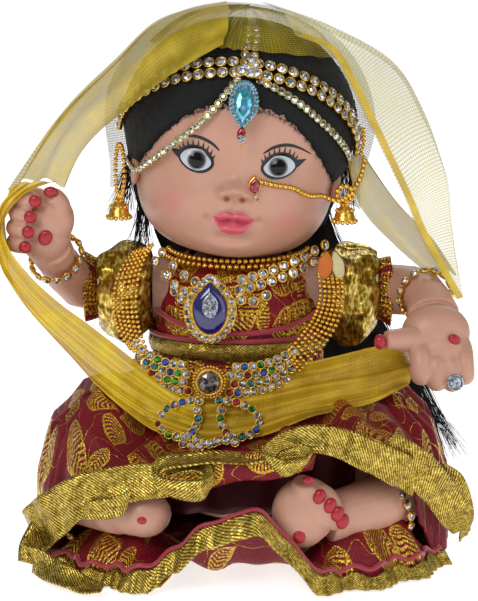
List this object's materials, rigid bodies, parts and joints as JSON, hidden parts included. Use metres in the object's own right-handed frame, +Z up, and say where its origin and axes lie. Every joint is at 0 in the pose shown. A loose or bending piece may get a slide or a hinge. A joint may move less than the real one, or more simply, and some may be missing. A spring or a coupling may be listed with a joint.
{
  "type": "jointed doll in bridal dress",
  "caption": "Seated jointed vinyl doll in crimson and gold bridal dress, with a yellow net veil, stone-set jewellery, turning head, arms and legs.",
  "frame": {"origin": "on the floor under the neck axis, on the underside of the skirt", "axes": "+Z up, the doll faces -Y, its left hand is on +X"},
  "size_m": [0.1697, 0.1508, 0.1902],
  "materials": {
    "vinyl": "soft moulded doll vinyl with a satin skin and painted details",
    "brocade": "crimson satin brocade with woven gold motifs",
    "gold_tissue": "woven gold tissue with crimson ground showing",
    "gold_lace": "woven metallic gold lace ribbon",
    "veil_net": "fine yellow net with metallic thread",
    "hair": "loose black synthetic hair",
    "felt": "matte black felt with a fuzzy edge",
    "eye": "glossy acrylic dome, printed iris",
    "gilt": "gilt pressed metal with clear cut stones",
    "silver_setting": "silver-plated setting",
    "crystal": "foil-backed iridescent acrylic stone",
    "red_stone": "faceted dark red acrylic stone",
    "blue_enamel": "deep blue polished enamel",
    "smoky_stone": "smoky grey cabochon in a gilt bezel",
    "end_tab": "orange enamelled leaf-shaped tab"
  },
  "bodies": {
    "torso": {"torso_shell": "vinyl", "bodice": "brocade", "bodice_lace_band": "gold_lace", "skirt_waistband": "brocade", "skirt_panel_front": "brocade", "skirt_panel_left": "brocade", "skirt_panel_back": "brocade", "skirt_panel_right": "brocade", "skirt_base_panel": "brocade", "skirt_ribbon_top": "gold_lace", "skirt_ribbon_floor": "gold_lace", "ribbon_tail": "gold_lace", "collar_beads": "gilt", "choker": "gilt", "necklace_strap_right": "gilt", "necklace_strap_left": "gilt", "necklace_band": "gilt", "necklace_end_tabs": "end_tab", "veil_back": "veil_net", "veil_fall_right": "veil_net", "veil_fall_left": "veil_net", "veil_band_right": "veil_net", "veil_band_left": "veil_net", "hair_fall": "hair"},
    "head": {"head_shell": "vinyl", "eye_right": "eye", "eye_left": "eye", "wig_cap": "felt", "veil_crown": "veil_net", "head_chain": "gilt", "parting_chain": "gilt", "brow_chain_right": "gilt", "brow_chain_left": "gilt", "nose_stud": "red_stone", "nose_chain": "gilt", "ear_loops_right": "gilt", "ear_loops_left": "gilt"},
    "tikka": {"tikka_frame": "silver_setting", "tikka_stone": "crystal", "tikka_drop": "red_stone"},
    "earring_right": {"jhumka_right": "gilt"},
    "earring_left": {"jhumka_left": "gilt"},
    "choker_pendant": {"choker_pendant_frame": "gilt", "choker_pendant_stone": "blue_enamel"},
    "necklace_pendant": {"pendant_centre_stone": "smoky_stone", "pendant_lobes": "gilt"},
    "arm_right": {"arm_right": "vinyl", "sleeve_right": "gold_tissue", "sleeve_cuff_right": "brocade"},
    "arm_left": {"arm_left": "vinyl", "sleeve_left": "gold_tissue", "sleeve_cuff_left": "brocade", "finger_ring": "silver_setting"},
    "bracelet_right": {"bracelet_right": "gilt"},
    "bracelet_left": {"bracelet_left": "gilt"},
    "leg_right": {"leg_right": "vinyl"},
    "leg_left": {"leg_left": "vinyl"},
    "anklet_right": {"anklet_right": "gilt"},
    "anklet_left": {"anklet_left": "gilt"}
  },
  "joints": [
    {"name": "neck_turn", "type": "hinge", "parent": "torso", "child": "head", "pos_m": [0, 0, 0.101], "axis": [0, 0, 1], "range_deg": [-20, 20]},
    {"name": "shoulder_right", "type": "hinge", "parent": "torso", "child": "arm_right", "pos_m": [-0.031, -0.003, 0.089], "axis": [1, 0, 0], "range_deg": [-15, 6]},
    {"name": "shoulder_left", "type": "hinge", "parent": "torso", "child": "arm_left", "pos_m": [0.031, -0.003, 0.089], "axis": [1, 0, 0], "range_deg": [-30, 2]},
    {"name": "hip_right", "type": "hinge", "parent": "torso", "child": "leg_right", "pos_m": [-0.027, -0.003, 0.025], "axis": [1, 0, 0], "range_deg": [-1, 5]},
    {"name": "hip_left", "type": "hinge", "parent": "torso", "child": "leg_left", "pos_m": [0.027, -0.003, 0.025], "axis": [1, 0, 0], "range_deg": [-1, 5]},
    {"name": "tikka_swing", "type": "hinge", "parent": "head", "child": "tikka", "pos_m": [0.00404, -0.04066, 0.16892], "axis": [0.9962, 0, -0.0872], "range_deg": [-35, 0]},
    {"name": "earring_right_swing", "type": "hinge", "parent": "head", "child": "earring_right", "pos_m": [-0.04358, -0.01527, 0.13625], "axis": [1, 0, 0], "range_deg": [-25, 25]},
    {"name": "earring_left_swing", "type": "hinge", "parent": "head", "child": "earring_left", "pos_m": [0.04206, -0.01527, 0.12876], "axis": [1, 0, 0], "range_deg": [-25, 25]},
    {"name": "choker_pendant_swing", "type": "hinge", "parent": "torso", "child": "choker_pendant", "pos_m": [-0.01, -0.0346, 0.1], "axis": [1, 0, 0], "range_deg": [-25, 0]},
    {"name": "necklace_pendant_swing", "type": "hinge", "parent": "torso", "child": "necklace_pendant", "pos_m": [-0.01, -0.0465, 0.0695], "axis": [1, 0, 0], "range_deg": [-20, 0]},
    {"name": "bracelet_right_turn", "type": "hinge", "parent": "arm_right", "child": "bracelet_right", "pos_m": [-0.065, -0.0195, 0.1035], "axis": [-0.2722, -0.6804, 0.6804], "continuous": true},
    {"name": "bracelet_left_turn", "type": "hinge", "parent": "arm_left", "child": "bracelet_left", "pos_m": [0.067, -0.0235, 0.09075], "axis": [0.2141, -0.9635, -0.1606], "continuous": true},
    {"name": "anklet_right_turn", "type": "hinge", "parent": "leg_right", "child": "anklet_right", "pos_m": [-0.0518, -0.056, 0.021], "axis": [0.5659, -0.8085, -0.1617], "continuous": true},
    {"name": "anklet_left_turn", "type": "hinge", "parent": "leg_left", "child": "anklet_left", "pos_m": [0.0513, -0.0545, 0.0205], "axis": [-0.6447, -0.7252, -0.2417], "continuous": true}
  ]
}
